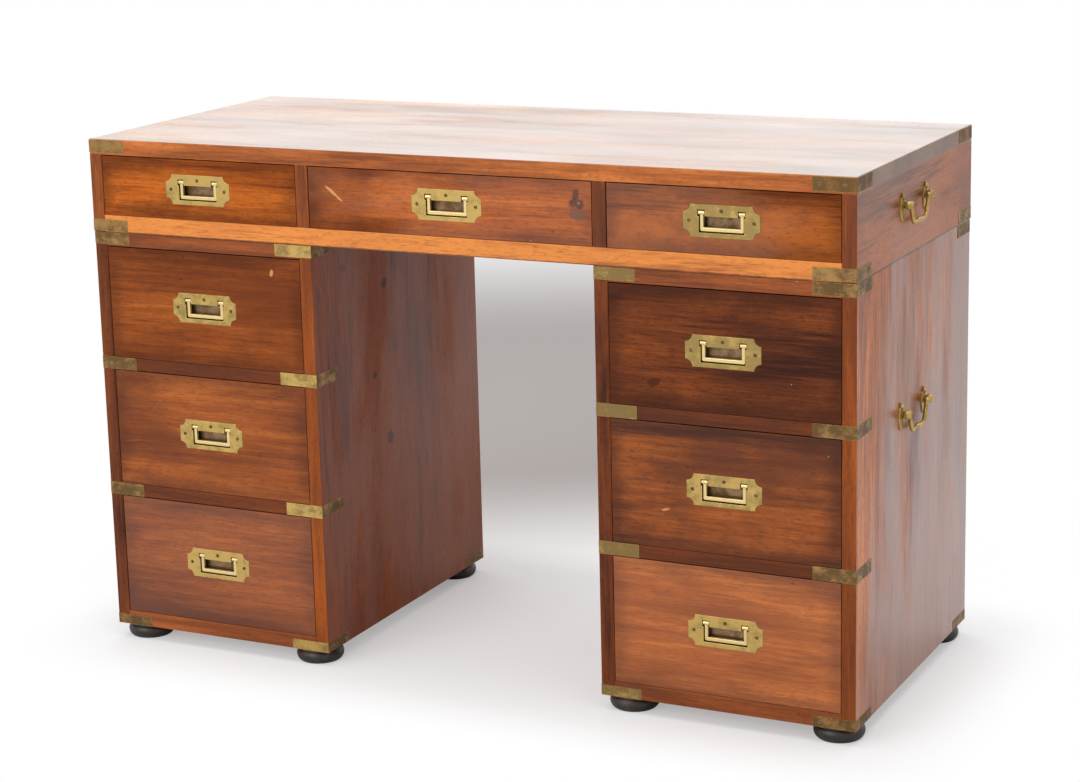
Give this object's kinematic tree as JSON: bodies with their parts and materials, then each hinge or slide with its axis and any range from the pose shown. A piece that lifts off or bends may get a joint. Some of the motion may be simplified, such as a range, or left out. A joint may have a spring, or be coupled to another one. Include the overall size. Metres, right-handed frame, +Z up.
{
  "type": "campaign desk",
  "caption": "Brass-bound pedestal desk in hardwood: a shallow drawer box on two drawer pedestals, with flush pulls, corner straps, carrying handles and turned feet.",
  "frame": {"origin": "on the floor under the middle of the desk", "axes": "+Z up, +X to the right when facing the desk, front towards -Y"},
  "size_m": [1.21, 0.5012, 0.766],
  "materials": {
    "case_wood": "old polish over reddish brown hardwood, worn and scratched",
    "lining_wood": "bare, oiled by handling",
    "foot_wood": "ebonised",
    "brass": "worn, partly dull"
  },
  "bodies": {
    "pedestals": {"left_pedestal_boards": "case_wood", "left_pedestal_feet": "foot_wood", "left_pedestal_handle_posts": "brass", "left_pedestal_rails_and_runners": "case_wood", "left_pedestal_sides": "case_wood", "left_pedestal_straps": "brass", "right_pedestal_boards": "case_wood", "right_pedestal_feet": "foot_wood", "right_pedestal_handle_posts": "brass", "right_pedestal_rails_and_runners": "case_wood", "right_pedestal_sides": "case_wood", "right_pedestal_straps": "brass"},
    "box": {"box_back": "case_wood", "box_bottom": "lining_wood", "box_front_frame": "case_wood", "box_handle_posts": "brass", "box_runners": "lining_wood", "box_sides": "case_wood", "box_straps": "brass", "top_board": "case_wood"},
    "frieze_left_drawer": {"frieze_left_front": "case_wood", "frieze_left_box": "lining_wood", "frieze_left_pull": "brass"},
    "frieze_left_handle": {"frieze_left_bail": "brass"},
    "frieze_middle_drawer": {"frieze_middle_front": "case_wood", "frieze_middle_box": "lining_wood", "frieze_middle_pull": "brass"},
    "frieze_middle_handle": {"frieze_middle_bail": "brass"},
    "frieze_right_drawer": {"frieze_right_front": "case_wood", "frieze_right_box": "lining_wood", "frieze_right_pull": "brass"},
    "frieze_right_handle": {"frieze_right_bail": "brass"},
    "left_upper_drawer": {"left_upper_front": "case_wood", "left_upper_box": "lining_wood", "left_upper_pull": "brass"},
    "left_upper_handle": {"left_upper_bail": "brass"},
    "left_middle_drawer": {"left_middle_front": "case_wood", "left_middle_box": "lining_wood", "left_middle_pull": "brass"},
    "left_middle_handle": {"left_middle_bail": "brass"},
    "left_lower_drawer": {"left_lower_front": "case_wood", "left_lower_box": "lining_wood", "left_lower_pull": "brass"},
    "left_lower_handle": {"left_lower_bail": "brass"},
    "right_upper_drawer": {"right_upper_front": "case_wood", "right_upper_box": "lining_wood", "right_upper_pull": "brass"},
    "right_upper_handle": {"right_upper_bail": "brass"},
    "right_middle_drawer": {"right_middle_front": "case_wood", "right_middle_box": "lining_wood", "right_middle_pull": "brass"},
    "right_middle_handle": {"right_middle_bail": "brass"},
    "right_lower_drawer": {"right_lower_front": "case_wood", "right_lower_box": "lining_wood", "right_lower_pull": "brass"},
    "right_lower_handle": {"right_lower_bail": "brass"},
    "box_left_carrying_handle": {"box_left_carry_bail": "brass"},
    "box_right_carrying_handle": {"box_right_carry_bail": "brass"},
    "pedestal_left_carrying_handle": {"left_pedestal_carry_bail": "brass"},
    "pedestal_right_carrying_handle": {"right_pedestal_carry_bail": "brass"}
  },
  "joints": [
    {"name": "box_lift", "type": "slide", "parent": "pedestals", "child": "box", "axis": [0, 0, 1], "range_m": [0, 0.06]},
    {"name": "frieze_left_slide", "type": "slide", "parent": "box", "child": "frieze_left_drawer", "axis": [0, -1, 0], "range_m": [0, 0.36]},
    {"name": "frieze_left_handle_hinge", "type": "hinge", "parent": "frieze_left_drawer", "child": "frieze_left_handle", "pos_m": [-0.405, -0.2456, 0.70885], "axis": [-1, 0, 0], "range_deg": [0, 90]},
    {"name": "frieze_middle_slide", "type": "slide", "parent": "box", "child": "frieze_middle_drawer", "axis": [0, -1, 0], "range_m": [0, 0.36]},
    {"name": "frieze_middle_handle_hinge", "type": "hinge", "parent": "frieze_middle_drawer", "child": "frieze_middle_handle", "pos_m": [0, -0.2456, 0.70885], "axis": [-1, 0, 0], "range_deg": [0, 90]},
    {"name": "frieze_right_slide", "type": "slide", "parent": "box", "child": "frieze_right_drawer", "axis": [0, -1, 0], "range_m": [0, 0.36]},
    {"name": "frieze_right_handle_hinge", "type": "hinge", "parent": "frieze_right_drawer", "child": "frieze_right_handle", "pos_m": [0.405, -0.2456, 0.70885], "axis": [-1, 0, 0], "range_deg": [0, 90]},
    {"name": "left_upper_slide", "type": "slide", "parent": "pedestals", "child": "left_upper_drawer", "axis": [0, -1, 0], "range_m": [0, 0.36]},
    {"name": "left_upper_handle_hinge", "type": "hinge", "parent": "left_upper_drawer", "child": "left_upper_handle", "pos_m": [-0.405, -0.2441, 0.5341], "axis": [-1, 0, 0], "range_deg": [0, 90]},
    {"name": "left_middle_slide", "type": "slide", "parent": "pedestals", "child": "left_middle_drawer", "axis": [0, -1, 0], "range_m": [0, 0.36]},
    {"name": "left_middle_handle_hinge", "type": "hinge", "parent": "left_middle_drawer", "child": "left_middle_handle", "pos_m": [-0.405, -0.2441, 0.3436], "axis": [-1, 0, 0], "range_deg": [0, 90]},
    {"name": "left_lower_slide", "type": "slide", "parent": "pedestals", "child": "left_lower_drawer", "axis": [0, -1, 0], "range_m": [0, 0.36]},
    {"name": "left_lower_handle_hinge", "type": "hinge", "parent": "left_lower_drawer", "child": "left_lower_handle", "pos_m": [-0.405, -0.2441, 0.1456], "axis": [-1, 0, 0], "range_deg": [0, 90]},
    {"name": "right_upper_slide", "type": "slide", "parent": "pedestals", "child": "right_upper_drawer", "axis": [0, -1, 0], "range_m": [0, 0.36]},
    {"name": "right_upper_handle_hinge", "type": "hinge", "parent": "right_upper_drawer", "child": "right_upper_handle", "pos_m": [0.405, -0.2441, 0.5341], "axis": [-1, 0, 0], "range_deg": [0, 90]},
    {"name": "right_middle_slide", "type": "slide", "parent": "pedestals", "child": "right_middle_drawer", "axis": [0, -1, 0], "range_m": [0, 0.36]},
    {"name": "right_middle_handle_hinge", "type": "hinge", "parent": "right_middle_drawer", "child": "right_middle_handle", "pos_m": [0.405, -0.2441, 0.3436], "axis": [-1, 0, 0], "range_deg": [0, 90]},
    {"name": "right_lower_slide", "type": "slide", "parent": "pedestals", "child": "right_lower_drawer", "axis": [0, -1, 0], "range_m": [0, 0.36]},
    {"name": "right_lower_handle_hinge", "type": "hinge", "parent": "right_lower_drawer", "child": "right_lower_handle", "pos_m": [0.405, -0.2441, 0.1456], "axis": [-1, 0, 0], "range_deg": [0, 90]},
    {"name": "box_left_carrying_handle_hinge", "type": "hinge", "parent": "box", "child": "box_left_carrying_handle", "pos_m": [-0.599, -0.018, 0.7005], "axis": [0, 1, 0], "range_deg": [-8, 180]},
    {"name": "box_right_carrying_handle_hinge", "type": "hinge", "parent": "box", "child": "box_right_carrying_handle", "pos_m": [0.599, -0.018, 0.7005], "axis": [0, -1, 0], "range_deg": [-8, 180]},
    {"name": "pedestal_left_carrying_handle_hinge", "type": "hinge", "parent": "pedestals", "child": "pedestal_left_carrying_handle", "pos_m": [-0.599, -0.018, 0.413], "axis": [0, 1, 0], "range_deg": [-8, 180]},
    {"name": "pedestal_right_carrying_handle_hinge", "type": "hinge", "parent": "pedestals", "child": "pedestal_right_carrying_handle", "pos_m": [0.599, -0.018, 0.413], "axis": [0, -1, 0], "range_deg": [-8, 180]}
  ]
}
